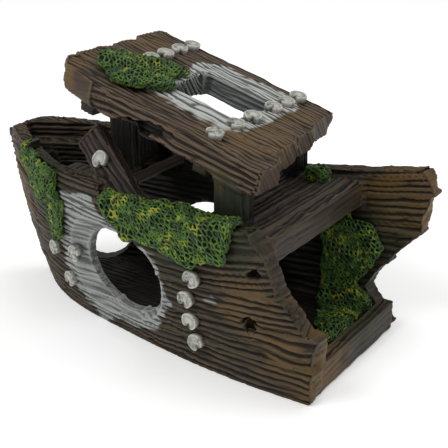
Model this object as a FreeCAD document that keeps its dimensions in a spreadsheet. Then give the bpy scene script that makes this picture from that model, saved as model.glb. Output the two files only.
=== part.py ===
"""Aquarium shipwreck ornament that bubbles: a stubby plank boat, broken open at the stern, with a cabin
roof on posts, portholes, moss patches, nail heads and an air stone on an inlet tube inside the hull.

Frame: millimetres, +Z up, +X towards the stern, port is -Y. The origin is on the flat base, on the
centre line. The sizes are in the sheet "Sizes"; every piece reads them from there.
"""

import FreeCAD, Part
import math
import os

import Sketcher

from FreeCAD import Placement, Rotation, Vector

doc = FreeCAD.newDocument("ShipwreckOrnament")
sheet = doc.addObject("Spreadsheet::Sheet", "Sizes")

SIZES = [
    # hull plan: how far it reaches fore and aft of the origin, and half breadths at four stations
    ("bow_reach", 52.0), ("stern_reach", 60.0), ("bow_rake", 13.5),
    ("skin_height", 54.0), ("skin_aft", 74.0),
    ("bow_station", 36.0), ("mid_station", 5.0), ("quarter_station", 34.0),
    ("base_half_bow", 12.4), ("base_half_mid", 21.7), ("base_half_quarter", 28.0), ("base_half_stern", 27.5),
    ("flare_bow", 7.6), ("flare_mid", 7.3), ("flare_quarter", 3.5), ("flare_stern", 3.5),
    ("wall", 6.5), ("floor_thickness", 5.0), ("sill_thickness", 4.5), ("sill_height", 9.0),
    # sheer line: the hull's rim at the stem, at its lowest point and near the stern
    ("sheer_bow", 45.0), ("sheer_low", 41.5), ("sheer_low_x", 12.0), ("sheer_stern", 50.0),
    ("sheer_stern_x", 70.0), ("rim_board_height", 6.0), ("rim_board_width", 5.0),
    ("port_rim_board_end", -6.0), ("starboard_rim_board_end", -10.0),
    # stem post inside the bow: where its aft face meets the floor and where it ends above
    ("stem_foot", 40.0), ("stem_head", 50.0), ("stem_top", 40.0),
    # portholes and the round hole in the starboard bow
    ("port_hole_x", -2.0), ("port_hole_z", 20.5), ("port_hole_width", 30.0), ("port_hole_height", 25.0),
    ("starboard_hole_z", 16.0), ("starboard_hole_height", 20.0),
    ("bow_hole_x", -39.0), ("bow_hole_y", 14.0), ("bow_hole_z", 13.5), ("bow_hole_radius", 9.0),
    ("bow_hole_turn", 30.0),
    # decks and their beams
    ("deck_top", 42.0), ("deck_board", 3.5), ("deck_fore", 23.5), ("deck_aft", 42.0),
    ("beam_depth", 8.0), ("beam_width", 5.0), ("fore_beam_x", -16.25), ("fore_beam_width", 8.0),
    ("fore_beam_depth", 5.0), ("fore_deck_reach", 17.5), ("fore_deck_step", 4.0),
    ("fore_deck_width", 6.5), ("fore_deck_y", -18.0),
    # cabin: posts and bulkhead
    ("aft_post_x", 28.0), ("aft_post_width", 9.0), ("aft_post_depth", 6.5), ("post_gap", 0.4),
    ("small_post_x", 23.7), ("small_post_width", 6.0), ("small_post_depth", 6.0),
    ("fore_post_width", 5.0), ("fore_post_depth", 6.0), ("fore_post_y", -6.0),
    ("bulkhead_thickness", 2.5), ("bulkhead_board", 6.8),
    # roof, sloping down to the stern, and the battens under it
    ("roof_top", 70.4), ("roof_pitch", 16.0), ("roof_thickness", 8.0), ("roof_port", -25.0), ("seam", 0.2),
    ("plank_width_1", 13.0), ("plank_width_2", 15.0), ("plank_width_3", 11.0), ("plank_width_4", 14.0),
    ("hatch_fore", 2.0), ("hatch_aft", 23.0), ("hatch_port", -4.2),
    ("batten_width", 5.0), ("batten_thickness", 3.0), ("batten_fore", -12.2), ("batten_aft", 26.0),
    ("batten_inset", 3.0),
    # leaning board
    ("board_length", 26.0), ("board_width", 9.5), ("board_thickness", 5.5), ("board_foot_length", 6.0),
    ("board_foot_x", 1.0), ("board_foot_y", -24.0), ("board_foot_z", 42.0), ("board_nail_reach", 14.7),
    ("board_yaw", 155.0), ("board_pitch", -30.5), ("board_roll", -57.0),
    # nails
    ("head_radius", 2.5), ("head_height", 1.3), ("shank_radius", 0.7), ("shank_length", 5.0),
    ("batten_grip", 2.0),
    # moss
    ("moss_thickness", 1.8), ("tuft_radius", 3.5), ("tuft_height", 2.8), ("tuft_gap", 5.5),
    # air fitting
    ("air_x", 18.0), ("air_z", 12.5), ("tube_radius", 2.9), ("tube_bore", 1.25), ("tube_reach", 8.5),
    ("tube_stand", 0.8), ("spigot_radius", 2.25), ("spigot_length", 7.5), ("spigot_lead", 0.5),
    ("stone_radius", 5.0), ("stone_length", 16.0), ("stone_socket", 4.0),
]
for row, (alias, value) in enumerate(SIZES, start=1):
    sheet.set(f"A{row}", alias)
    sheet.set(f"B{row}", str(value))
    sheet.setAlias(f"B{row}", alias)
doc.recompute()

# Where the strakes meet, as shares of the sheer's height
SEAM_SHARES = [0.0, 0.21, 0.40, 0.61, 0.84, 1.0]
# Where each strake breaks off aft, from the keel up: x at its lower edge and at its upper edge
PORT_ENDS = [(60.5, 62.5), (62.5, 63.5), (61.0, 52.0), (51.8, 48.0), (47.5, 43.5)]
STARBOARD_ENDS = [(59.5, 50.5), (50.5, 56.5), (57.0, 66.0), (66.5, 69.0), (69.0, 65.5)]
# Roof planks from port to starboard: where each starts and ends along the slope
ROOF_ENDS = [(-27.0, 45.5), (-26.5, 41.5), (-25.5, 40.5), (-26.5, 38.5)]
# The roof's worn fore port corner: distances down the slope, and inwards from the roof's port side
ROOF_CORNER = [(-27.0, 8.5), (-22.5, 4.0), (-4.0, 0.0)]
# Nails on the port side as (x, z), and nails across the roof as y
QUARTER_NAILS = [(23.9, 27.6), (24.9, 20.9), (25.1, 14.5), (25.5, 8.3)]
BOW_NAILS = [(-29.7, 30.5), (-30.3, 18.8), (-26.3, 10.1), (-20.5, 21.1)]
ROOF_FORE_NAILS = [4.3, 11.2, 18.4, 24.8]
ROOF_AFT_NAILS = [-18.5, -8.5, 0.0, 10.9, 18.2, 24.8]
# Moss outlines: as (x, z) on the hull's sides, as (x, y) on the floor, and down the slope on the roof
BOW_MOSS = [(-46, 44), (-42, 49), (-26, 46), (-23, 36), (-24, 26), (-30, 22), (-33, 32)]
RIM_MOSS = [(-5, 45), (0, 36), (6.4, 33.6), (15, 34.5), (20, 32.6), (25, 31.5), (36, 35), (39, 40), (38, 45)]
STERN_MOSS = [(36, 7), (36, 26), (43, 31), (51, 30), (55, 24), (52, 17), (48, 11), (45, 7)]
FLOOR_MOSS = [(39, 20.5), (42, 8), (49, -6), (54.5, -6), (54.5, 20.5)]
ROOF_MOSS = [(-16, -15), (-21, -6), (-20, -1.6), (-15.5, 0.5), (-8.5, 1.0), (-6, 6), (-1, 7), (1, 4),
             (1, -5), (5, -5.5), (5, -10), (-0.5, -16), (-7, -20)]

PORT, STARBOARD = -1, 1
# Half the length of the blanks that get trimmed; more than the hull measures in any direction
REACH = 200.0
# How the sides swell from base to rim, and how much more than the sides the stem moves inwards
FLARE_POWER = 0.8
STEM_INSET_RATIO = 1.6
# How far blanks start ahead of the stem, and how far a rim board's broken end slants
AHEAD = 1.0
RIM_SLANT = 2.0

subparts = []


def size(rule):
    """The value of an expression of the sheet's cells, or of one cell's bare name."""
    return float(sheet.evalExpression(rule))


def keep(obj, label):
    """Marks a document object as a sub-part that is written to its own file."""
    obj.Label = label
    subparts.append(obj)
    return obj


def bind(obj, **expressions):
    """Binds properties to expressions; two underscores stand for a dot, as in Placement__Base__x."""
    for name, expression in expressions.items():
        obj.setExpression(name.replace("__", "."), expression)
    return obj


def boolean(kind, name, base, tool):
    """Part::Cut, Part::Fuse or Part::Common of two document objects."""
    obj = doc.addObject(f"Part::{kind}", name)
    obj.Base, obj.Tool = base, tool
    return obj


def group_of(name, members):
    """A compound of document objects, such as a row of nails."""
    obj = doc.addObject("Part::Compound", name)
    obj.Links = members
    return obj


def box(name, length, width, height, x, y, z):
    """A Part::Box whose sizes and corner are expressions."""
    obj = doc.addObject("Part::Box", name)
    return bind(obj, Length=length, Width=width, Height=height,
                Placement__Base__x=x, Placement__Base__y=y, Placement__Base__z=z)


def solid(name, shape):
    """A Part::Feature for a shape that neither a body nor a primitive makes."""
    obj = doc.addObject("Part::Feature", name)
    obj.Shape = shape
    return obj


def sketched_body(name, outline):
    """A body with a polygon sketched on its XY plane; the outline's points are pairs of expressions."""
    body = doc.addObject("PartDesign::Body", f"{name}_body")
    sketch = body.newObject("Sketcher::SketchObject", f"{name}_sketch")
    plane = next(item for item in body.Origin.OriginFeatures if item.Role == "XY_Plane")
    sketch.AttachmentSupport = [(plane, "")]
    sketch.MapMode = "FlatFace"
    corners = [Vector(size(x), size(y), 0) for x, y in outline]
    count = len(corners)
    for index in range(count):
        sketch.addGeometry(Part.LineSegment(corners[index], corners[(index + 1) % count]), False)
    for index in range(count):
        sketch.addConstraint(Sketcher.Constraint("Coincident", index, 2, (index + 1) % count, 1))
    for index, (corner, rules) in enumerate(zip(corners, outline)):
        for kind, rule, value in zip(("DistanceX", "DistanceY"), rules, (corner.x, corner.y)):
            number = sketch.addConstraint(Sketcher.Constraint(kind, -1, 1, index, 1, value))
            sketch.renameConstraint(number, f"{kind}_{index + 1}")
            sketch.setExpression(f"Constraints.{kind}_{index + 1}", rule)
    return body, sketch


def pad(name, outline, height, downwards=False):
    """A slab: a sketched polygon that is padded by an expression."""
    body, sketch = sketched_body(name, outline)
    raised = body.newObject("PartDesign::Pad", f"{name}_pad")
    raised.Profile = sketch
    raised.Reversed = downwards
    raised.setExpression("Length", height)
    return body


def turned(name, outline):
    """A round body about its own Y axis, from points of (radius, distance along the axis)."""
    body, sketch = sketched_body(name, outline)
    spin = body.newObject("PartDesign::Revolution", f"{name}_revolution")
    spin.Profile = sketch
    spin.ReferenceAxis = (sketch, ["V_Axis"])
    spin.Angle = 360
    return body


def rectangle(fore, aft, port, starboard):
    """The outline of a rectangle, from expressions of its four sides."""
    return [(fore, port), (aft, port), (aft, starboard), (fore, starboard)]


# ---------------------------------------------------------------- hull skins


def skin_section(level, inset):
    """One horizontal section of the hull, whose level runs from 0 at the base to 1 at the skin's top.

    inset moves the sides inwards. The stem gets more of it, because the sides meet there at an angle.
    """
    z = level * size("skin_height")
    lean = math.sin(level * math.pi / 2) ** FLARE_POWER
    stem_inset = STEM_INSET_RATIO * inset
    side = [Vector(stem_inset - size("bow_reach") - size("bow_rake") * lean, 0, z)]
    stations = {"bow": -size("bow_station"), "mid": -size("mid_station"),
                "quarter": size("quarter_station"), "stern": size("skin_aft")}
    for name, x in stations.items():
        half = size(f"base_half_{name}") + size(f"flare_{name}") * lean - inset
        side.append(Vector(x, half, z))
    curves = []
    for mirror in (PORT, STARBOARD):
        curve = Part.BSplineCurve()
        curve.interpolate([Vector(point.x, mirror * point.y, z) for point in side])
        curves.append(curve.toShape())
    end = side[-1]
    aft = Part.LineSegment(Vector(end.x, -end.y, z), end).toShape()
    return Part.Wire([curves[0], aft, curves[1]])


def skin(inset):
    """The hull's skin as a solid that is closed all round."""
    return Part.makeLoft([skin_section(level, inset) for level in (0.0, 0.5, 1.0)], True, False)


def sheer_point(x, share):
    """The point at a place along the hull of the line between two strakes.

    The line is an arc in the centre plane, whose heights are a share of the sheer's.
    """
    if share == 0:
        return Vector(x, 0, 0)
    stem = -size("bow_reach") - size("bow_rake")
    circle = Part.Circle(Vector(stem, 0, share * size("sheer_bow")),
                         Vector(size("sheer_low_x"), 0, share * size("sheer_low")),
                         Vector(size("sheer_stern_x"), 0, share * size("sheer_stern")))
    centre = circle.Center
    return Vector(x, 0, centre.z - math.sqrt(circle.Radius ** 2 - (x - centre.x) ** 2))


def sheer_edge(start, end, share):
    """The piece of a sheer arc between two places along the hull."""
    ends = [sheer_point(start, share), sheer_point(end, share)]
    if share == 0:
        return Part.LineSegment(*ends).toShape()
    return Part.Arc(ends[0], sheer_point((start + end) / 2, share), ends[1]).toShape()


def band(lower, upper, end_low, end_high):
    """A slab across the hull between two sheer arcs, from ahead of the stem to a slanting aft end."""
    stem = -size("bow_reach") - size("bow_rake") - AHEAD
    low = sheer_edge(stem, end_low, lower)
    high = sheer_edge(stem, end_high, upper)
    fore = Part.LineSegment(low.Vertexes[0].Point, high.Vertexes[0].Point).toShape()
    aft = Part.LineSegment(low.Vertexes[-1].Point, high.Vertexes[-1].Point).toShape()
    face = Part.Face(Part.Wire(Part.sortEdges([low, aft, high, fore])[0]))
    face.translate(Vector(0, -REACH / 2, 0))
    return face.extrude(Vector(0, REACH, 0))


def half_space(side):
    """A big block on one side of the centre plane."""
    y = -REACH if side == PORT else 0
    return Part.makeBox(2 * REACH, REACH, 2 * REACH, Vector(-REACH, y, -REACH))


def block_between(fore, aft):
    """A big block between two places along the hull."""
    return Part.makeBox(aft - fore, 2 * REACH, 2 * REACH, Vector(fore, -REACH, -REACH))


outer_skin = solid("outer_skin", skin(0.0))
inner_skin = solid("inner_skin", skin(size("wall")))
shell = outer_skin.Shape.cut(inner_skin.Shape)


def porthole_cutter(side, z, height):
    """An oval prism from the centre plane out through one side of the hull."""
    middle = Vector(size("port_hole_x"), 0, z)
    half_axes = [Vector(size("port_hole_width") / 2, 0, 0), Vector(0, 0, height / 2)]
    half_axes.sort(key=lambda axis: axis.Length, reverse=True)
    ellipse = Part.Ellipse(middle + half_axes[0], middle + half_axes[1], middle)
    return Part.Face(Part.Wire(ellipse.toShape())).extrude(Vector(0, side * REACH, 0))


def bow_hole_cutter():
    """A round hole through the starboard bow, about square to the planks there."""
    centre = Vector(size("bow_hole_x"), size("bow_hole_y"), size("bow_hole_z"))
    turn = math.radians(size("bow_hole_turn"))
    outward = Vector(-math.sin(turn), math.cos(turn), 0)
    inner_end = centre - outward * size("bow_hole_y")
    return Part.makeCylinder(size("bow_hole_radius"), REACH, inner_end, outward)


# ---------------------------------------------------------------- nails


def nail(name, shank_length):
    """A nail whose head stands on the plane z = 0 and whose shank goes down from it."""
    head = bind(doc.addObject("Part::Cylinder", f"{name}_head"),
                Radius="Sizes.head_radius", Height="Sizes.head_height")
    shank = bind(doc.addObject("Part::Cylinder", f"{name}_shank"), Radius="Sizes.shank_radius",
                 Height=shank_length, Placement__Base__z=f"-({shank_length})")
    return boolean("Fuse", name, head, shank)


def hull_surface(x, z, side):
    """A point on the outside of the hull at a station and a height, and the outward direction there."""

    def half_breadth(station):
        ray = Part.LineSegment(Vector(station, 0, z), Vector(station, side * REACH, z)).toShape()
        return max(abs(vertex.Y) for vertex in ray.common(outer_skin.Shape).Vertexes)

    slope = (half_breadth(x + 1.0) - half_breadth(x - 1.0)) / 2
    return Vector(x, side * half_breadth(x), z), Vector(-slope, side, 0).normalize()


def hull_nails(name, places, side):
    """Nails driven square into one side of the hull."""
    nails = []
    for number, (x, z) in enumerate(places, start=1):
        here, outward = hull_surface(x, z, side)
        driven = nail(f"{name}_{number}", "Sizes.shank_length")
        driven.Placement = Placement(here, Rotation(Vector(0, 0, 1), outward))
        nails.append(driven)
    return keep(group_of(name, nails), name)


roof_place = Placement(Vector(0, 0, size("roof_top")), Rotation(Vector(0, 1, 0), size("roof_pitch")))


def on_roof(obj, x=0.0, y=0.0, z=0.0):
    """Puts an object at a place of the roof's own frame: x runs down the slope, z = 0 is its top."""
    obj.Placement = roof_place.multiply(Placement(Vector(x, y, z), Rotation()))
    return obj


def roof_nails(name, along, places):
    """A row of nails across the roof, long enough to grip the batten below."""
    nails = [on_roof(nail(f"{name}_{number}", "Sizes.roof_thickness + Sizes.batten_grip"), size(along), y)
             for number, y in enumerate(places, start=1)]
    return keep(group_of(name, nails), name)


roof_nail_rows = group_of("roof_nail_rows", [
    roof_nails("roof_fore_nails", "batten_fore", ROOF_FORE_NAILS),
    roof_nails("roof_aft_nails", "batten_aft", ROOF_AFT_NAILS),
])
quarter_nails = hull_nails("port_quarter_nails", QUARTER_NAILS, PORT)
bow_nails = hull_nails("port_bow_nails", BOW_NAILS, PORT)
doc.recompute()

# ---------------------------------------------------------------- hull planks


def strakes(side, side_name, ends, cutters, butts):
    """The planks of one side, from the keel up; butts lists where a plank is made in lengths."""
    half = shell.common(half_space(side))
    for index, (end_low, end_high) in enumerate(ends):
        plank = half.common(band(SEAM_SHARES[index], SEAM_SHARES[index + 1], end_low, end_high))
        for cutter in cutters:
            plank = plank.cut(cutter)
        places = [-REACH, *butts.get(index + 1, []), REACH]
        lengths = {2: [""], 3: ["_fore", "_aft"], 4: ["_fore", "_middle", "_aft"]}[len(places)]
        for suffix, fore, aft in zip(lengths, places, places[1:]):
            name = f"{side_name}_strake_{index + 1}{suffix}"
            keep(solid(name, plank.common(block_between(fore, aft))), name)


air_drill = Part.makeCylinder(size("tube_radius"), REACH, Vector(size("air_x"), 0, size("air_z")),
                              Vector(0, 1, 0))
hole_x, bow_x = size("port_hole_x"), size("bow_hole_x")
port_hole = porthole_cutter(PORT, size("port_hole_z"), size("port_hole_height"))
starboard_hole = porthole_cutter(STARBOARD, size("starboard_hole_z"), size("starboard_hole_height"))
strakes(PORT, "port", PORT_ENDS, [port_hole, quarter_nails.Shape, bow_nails.Shape],
        {2: [hole_x], 3: [hole_x]})
strakes(STARBOARD, "starboard", STARBOARD_ENDS, [starboard_hole, bow_hole_cutter(), air_drill],
        {2: [bow_x, hole_x], 3: [hole_x]})

# ---------------------------------------------------------------- floor, sill and stem


def across_hull(label, length, height, x, z):
    """A board that runs across the hull, its ends shaped to the inside of the planks."""
    slab = box(f"{label}_slab", length, str(REACH), height, x, str(-REACH / 2), z)
    return keep(boolean("Common", label, inner_skin, slab), label)


across_hull("floor_plate", "Sizes.bow_reach + Sizes.stern_reach - Sizes.sill_thickness",
            "Sizes.floor_thickness", "-Sizes.bow_reach", "0")
across_hull("transom_sill", "Sizes.sill_thickness", "Sizes.sill_height",
            "Sizes.stern_reach - Sizes.sill_thickness", "0")
stem_low, stem_high = size("floor_thickness"), size("stem_top")
stem_outline = [(-REACH, stem_low), (-size("stem_foot"), stem_low), (-size("stem_head"), stem_high),
                (-REACH, stem_high), (-REACH, stem_low)]
stem_slab = Part.Face(Part.makePolygon([Vector(x, -REACH, z) for x, z in stem_outline]))
stem_shape = inner_skin.Shape.common(stem_slab.extrude(Vector(0, 2 * REACH, 0)))
keep(solid("stem_post", stem_shape), "stem_post")

# ---------------------------------------------------------------- decks and beams

DECK_BOARDS = 3
pitch = f"(Sizes.deck_aft - Sizes.deck_fore) / {DECK_BOARDS}"
for index in range(DECK_BOARDS):
    across_hull(f"aft_deck_board_{index + 1}", f"{pitch} - Sizes.seam", "Sizes.deck_board",
                f"Sizes.deck_fore + {index} * {pitch}", "Sizes.deck_top - Sizes.deck_board")
across_hull("aft_deck_beam", "Sizes.beam_width", "Sizes.beam_depth", "Sizes.deck_aft",
            "Sizes.deck_top - Sizes.beam_depth")
beam_fore = "Sizes.fore_beam_x - Sizes.fore_beam_width / 2"
across_hull("fore_beam", "Sizes.fore_beam_width", "Sizes.fore_beam_depth", beam_fore,
            "Sizes.deck_top - Sizes.fore_beam_depth")
for index in range(2):
    reach = f"Sizes.fore_deck_reach - {index} * Sizes.fore_deck_step"
    slab = box(f"fore_deck_slab_{index + 1}", reach, "Sizes.fore_deck_width - Sizes.seam",
               "Sizes.deck_board", f"{beam_fore} - ({reach})",
               f"Sizes.fore_deck_y + {index} * Sizes.fore_deck_width", "Sizes.deck_top - Sizes.deck_board")
    keep(boolean("Common", f"fore_deck_board_{index + 1}", inner_skin, slab), f"fore_deck_board_{index + 1}")

# ---------------------------------------------------------------- leaning board and rim boards

below_rim = solid("below_rim", band(0.0, 1.0, size("skin_aft"), size("skin_aft")))
board_blank = pad("board_blank", rectangle("-Sizes.board_foot_length", "Sizes.board_length",
                                           "-Sizes.board_width / 2", "Sizes.board_width / 2"),
                  "Sizes.board_thickness")
board_turn = Rotation(size("board_yaw"), size("board_pitch"), size("board_roll"))
board_foot = Vector(size("board_foot_x"), size("board_foot_y"), size("board_foot_z"))
to_back = board_turn.multVec(Vector(0, 0, -size("board_thickness") / 2))
board_blank.Placement = Placement(board_foot + to_back, board_turn)
board_nail = keep(nail("leaning_board_nail", "Sizes.shank_length"), "leaning_board_nail")
nail_spot = Vector(size("board_nail_reach"), 0, size("board_thickness"))
board_nail.Placement = board_blank.Placement.multiply(Placement(nail_spot, Rotation()))
drilled_board = boolean("Cut", "drilled_board", board_blank, board_nail)
leaning_board = keep(boolean("Cut", "leaning_board", drilled_board, below_rim), "leaning_board")

rim_ring = outer_skin.Shape.cut(skin(size("rim_board_width")))
rim_top_share = 1 + size("rim_board_height") / size("sheer_low")
rim_boards = []
for side, name in ((PORT, "port"), (STARBOARD, "starboard")):
    end = size(f"{name}_rim_board_end")
    strip = rim_ring.common(half_space(side)).common(band(1.0, rim_top_share, end + RIM_SLANT, end))
    rim_blank = solid(f"{name}_rim_board_blank", strip)
    rim_board = boolean("Cut", f"{name}_rim_board", rim_blank, leaning_board)
    rim_boards.append(keep(rim_board, f"{name}_rim_board"))

# ---------------------------------------------------------------- roof

# Each plank's port side is the starboard side of the one before
plank_sides = ["Sizes.roof_port"]
for number in range(1, 5):
    plank_sides.append(f"{plank_sides[-1]} + Sizes.plank_width_{number}")


def roof_plank(label, outline):
    """A plank of the roof, drilled for the nails."""
    plank = on_roof(pad(label, outline, "Sizes.roof_thickness", downwards=True))
    return keep(boolean("Cut", label, plank, roof_nail_rows), label)


for number, (fore_end, aft_end) in enumerate(ROOF_ENDS, start=1):
    fore, aft = str(fore_end), str(aft_end)
    port_side, starboard_side = plank_sides[number - 1], f"{plank_sides[number]} - Sizes.seam"
    if number == 1:
        corner = [(str(along), f"Sizes.roof_port + {inwards}") for along, inwards in ROOF_CORNER]
        roof_plank("roof_plank_1", [*corner, (aft, port_side), (aft, starboard_side), (fore, starboard_side)])
    elif number == 2:
        roof_plank("roof_plank_2", [(fore, port_side), (aft, port_side), (aft, starboard_side),
                                    ("Sizes.hatch_aft", starboard_side),
                                    ("Sizes.hatch_aft", "Sizes.hatch_port"),
                                    ("Sizes.hatch_fore", "Sizes.hatch_port"),
                                    ("Sizes.hatch_fore", starboard_side), (fore, starboard_side)])
    elif number == 3:
        roof_plank("roof_plank_3_fore", rectangle(fore, "Sizes.hatch_fore", port_side, starboard_side))
        roof_plank("roof_plank_3_aft", rectangle("Sizes.hatch_aft", aft, port_side, starboard_side))
    else:
        roof_plank(f"roof_plank_{number}", rectangle(fore, aft, port_side, starboard_side))

batten_blanks = []
for where in ("fore", "aft"):
    middle, half = f"Sizes.batten_{where}", "Sizes.batten_width / 2"
    outline = rectangle(f"{middle} - {half}", f"{middle} + {half}",
                        "Sizes.roof_port + Sizes.batten_inset", f"{plank_sides[4]} - Sizes.batten_inset")
    blank = on_roof(pad(f"batten_{where}_blank", outline, "Sizes.batten_thickness", downwards=True),
                    z=-size("roof_thickness"))
    batten_blanks.append(blank)
    keep(boolean("Cut", f"roof_batten_{where}", blank, roof_nail_rows), f"roof_batten_{where}")

# ---------------------------------------------------------------- cabin posts and bulkhead

under_roof = doc.addObject("Part::Box", "under_roof")
under_roof.Length, under_roof.Width, under_roof.Height = 2 * REACH, 2 * REACH, REACH
on_roof(under_roof, -REACH, -REACH, -REACH - size("roof_thickness"))
above_posts = group_of("above_posts", batten_blanks + rim_boards)


def upright(label, length, width, x, y):
    """A post from the deck up to the roof's underside, or to the batten where one is above it."""
    blank = box(f"{label}_block", length, width, "Sizes.roof_top", x, y, "Sizes.deck_top")
    trimmed = boolean("Common", f"{label}_trimmed", blank, under_roof)
    return keep(boolean("Cut", label, trimmed, above_posts), label)


def side_inside(x):
    """The half breadth between the planks at deck height, as an expression."""
    return f"({hull_surface(x, size('deck_top'), STARBOARD)[0].y} - Sizes.wall - Sizes.post_gap)"


BULKHEAD_BOARDS = 4
post_x = f"{beam_fore} + Sizes.bulkhead_thickness"
last_post_y = f"Sizes.fore_post_y + {BULKHEAD_BOARDS} * Sizes.bulkhead_board - Sizes.fore_post_depth"
upright("aft_port_post", "Sizes.aft_post_width", "Sizes.aft_post_depth", "Sizes.aft_post_x",
        f"-{side_inside(size('aft_post_x'))}")
small_post_y = f"{side_inside(size('small_post_x'))} - Sizes.small_post_depth"
upright("aft_starboard_post", "Sizes.small_post_width", "Sizes.small_post_depth", "Sizes.small_post_x",
        small_post_y)
upright("fore_port_post", "Sizes.fore_post_width", "Sizes.fore_post_depth", post_x, "Sizes.fore_post_y")
upright("fore_starboard_post", "Sizes.fore_post_width", "Sizes.fore_post_depth", post_x, last_post_y)
for index in range(BULKHEAD_BOARDS):
    upright(f"fore_bulkhead_board_{index + 1}", "Sizes.bulkhead_thickness",
            "Sizes.bulkhead_board - Sizes.seam", beam_fore,
            f"Sizes.fore_post_y + {index} * Sizes.bulkhead_board")

# ---------------------------------------------------------------- moss

doc.recompute()


def side_moss(name, outline, side, outer_inset, inner_inset):
    """A pad between two skins, inside an outline seen from abeam and clear of every piece it meets."""
    corners = [Vector(x, 0, z) for x, z in outline + outline[:1]]
    prism = Part.Face(Part.makePolygon(corners)).extrude(Vector(0, side * REACH, 0))
    shape = skin(outer_inset).cut(skin(inner_inset)).common(prism)
    for piece in subparts:
        if piece.Shape.BoundBox.intersect(shape.BoundBox):
            shape = shape.cut(piece.Shape)
    return solid(name, max(shape.Solids, key=lambda part: part.Volume))


thick = size("moss_thickness")
side_pads = [side_moss("bow_moss", BOW_MOSS, PORT, -thick, size("rim_board_width")),
             side_moss("port_rim_moss", RIM_MOSS, PORT, -thick, size("wall")),
             side_moss("stern_wall_moss", STERN_MOSS, STARBOARD, size("wall"), size("wall") + thick)]
for side_pad in side_pads:
    keep(side_pad, side_pad.Name)
floor_pad = pad("stern_floor_moss", [(str(float(x)), str(float(y))) for x, y in FLOOR_MOSS],
                "Sizes.moss_thickness")
bind(keep(floor_pad, "stern_floor_moss"), Placement__Base__z="Sizes.floor_thickness")
roof_pad = pad("roof_moss", [(str(float(x)), str(float(y))) for x, y in ROOF_MOSS], "Sizes.moss_thickness")
keep(on_roof(roof_pad), "roof_moss")
tuft = bind(doc.addObject("Part::Cylinder", "post_moss_tuft"), Radius="Sizes.tuft_radius",
            Height="Sizes.tuft_height",
            Placement__Base__x="Sizes.small_post_x + Sizes.small_post_width + Sizes.tuft_gap",
            Placement__Base__y=f"{small_post_y} + Sizes.small_post_depth / 2",
            Placement__Base__z="Sizes.deck_top")
keep(tuft, "post_moss_tuft")

# ---------------------------------------------------------------- air fitting

# Distances along the tube's axis: it passes through the wall and ends in a spigot outside
wall_y = hull_surface(size("air_x"), size("air_z"), STARBOARD)[0].y
tube_start = f"({wall_y} - Sizes.wall - Sizes.tube_reach)"
shoulder = f"({wall_y} + Sizes.tube_stand)"
tube_end = f"({shoulder} + Sizes.spigot_length)"
stone_end = f"({tube_start} + Sizes.stone_socket)"
stone_start = f"({stone_end} - Sizes.stone_length)"
tube = turned("air_inlet_tube", [
    ("Sizes.tube_bore", tube_start), ("Sizes.tube_radius", tube_start), ("Sizes.tube_radius", shoulder),
    ("Sizes.spigot_radius", shoulder), ("Sizes.spigot_radius", f"{tube_end} - Sizes.spigot_lead"),
    ("Sizes.spigot_radius - Sizes.spigot_lead", tube_end), ("Sizes.tube_bore", tube_end),
])
stone = turned("air_stone", [
    ("0", stone_start), ("Sizes.stone_radius", stone_start), ("Sizes.stone_radius", stone_end),
    ("Sizes.tube_radius", stone_end), ("Sizes.tube_radius", tube_start), ("0", tube_start),
])
for body, label in ((tube, "air_inlet_tube"), (stone, "air_stone")):
    bind(keep(body, label), Placement__Base__x="Sizes.air_x", Placement__Base__z="Sizes.air_z")

# ---------------------------------------------------------------- checks and files

doc.recompute()
failed = [obj.Label for obj in doc.Objects if {"Invalid", "Error"} & set(obj.State)]
unsound = [obj.Label for obj in subparts
           if obj.Shape.isNull() or not obj.Shape.isValid() or not obj.Shape.Solids]
if failed or unsound:
    raise RuntimeError(f"failed: {failed}; unsound: {unsound}")

os.makedirs("parts", exist_ok=True)
for obj in subparts:
    obj.Shape.exportStep(f"parts/{obj.Label}.step")
    print(f"{obj.Label}: {len(obj.Shape.Solids)} solid(s), {obj.Shape.Volume:.0f} mm3")
print(len(subparts), "sub-parts")
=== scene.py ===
"""The looks of the aquarium shipwreck: carved and dry-brushed planks, whitewash, nail heads and moss."""

import itertools
import math

import bmesh
import bpy
import numpy as np
from mathutils import Matrix, Vector
from mathutils.bvhtree import BVHTree


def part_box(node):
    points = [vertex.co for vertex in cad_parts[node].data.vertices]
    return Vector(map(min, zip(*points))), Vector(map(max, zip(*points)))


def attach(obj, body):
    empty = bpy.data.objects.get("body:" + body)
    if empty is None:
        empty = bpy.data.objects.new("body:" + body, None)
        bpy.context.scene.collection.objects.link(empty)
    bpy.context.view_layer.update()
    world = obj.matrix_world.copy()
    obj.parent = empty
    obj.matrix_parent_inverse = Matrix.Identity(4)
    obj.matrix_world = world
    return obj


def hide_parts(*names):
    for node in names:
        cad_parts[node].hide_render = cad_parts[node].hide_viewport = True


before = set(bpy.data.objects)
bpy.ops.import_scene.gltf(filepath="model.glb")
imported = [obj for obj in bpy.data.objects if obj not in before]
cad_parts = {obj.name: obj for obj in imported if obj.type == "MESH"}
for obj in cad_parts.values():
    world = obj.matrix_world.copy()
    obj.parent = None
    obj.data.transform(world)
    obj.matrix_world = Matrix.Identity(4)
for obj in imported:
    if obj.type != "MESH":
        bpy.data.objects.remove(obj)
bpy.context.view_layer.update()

MM = 0.001

# ------------------------------------------------------------------ the boat's own measures, in mm

# The rim's curve: the stem's place and the rim's height there, then how the rim falls and rises again
STEM_X, MIDDLE_X = -65.5, 12.0
STEM_HEIGHT, SHEER_FALL, SHEER_CURVE = 45.0, 0.04516, 0.001415

# Half the hull's breadth at three places along it: at its base, and what the flare adds by FLARE_HEIGHT
STATIONS = (-36.0, -5.0, 34.0)
BASE_HALF = (12.4, 21.7, 28.0)
SIDE_FLARE = (7.6, 7.3, 3.5)
FLARE_HEIGHT = 54.0
BOW_REACH, STEM_RAKE = 52.0, 13.5

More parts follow.
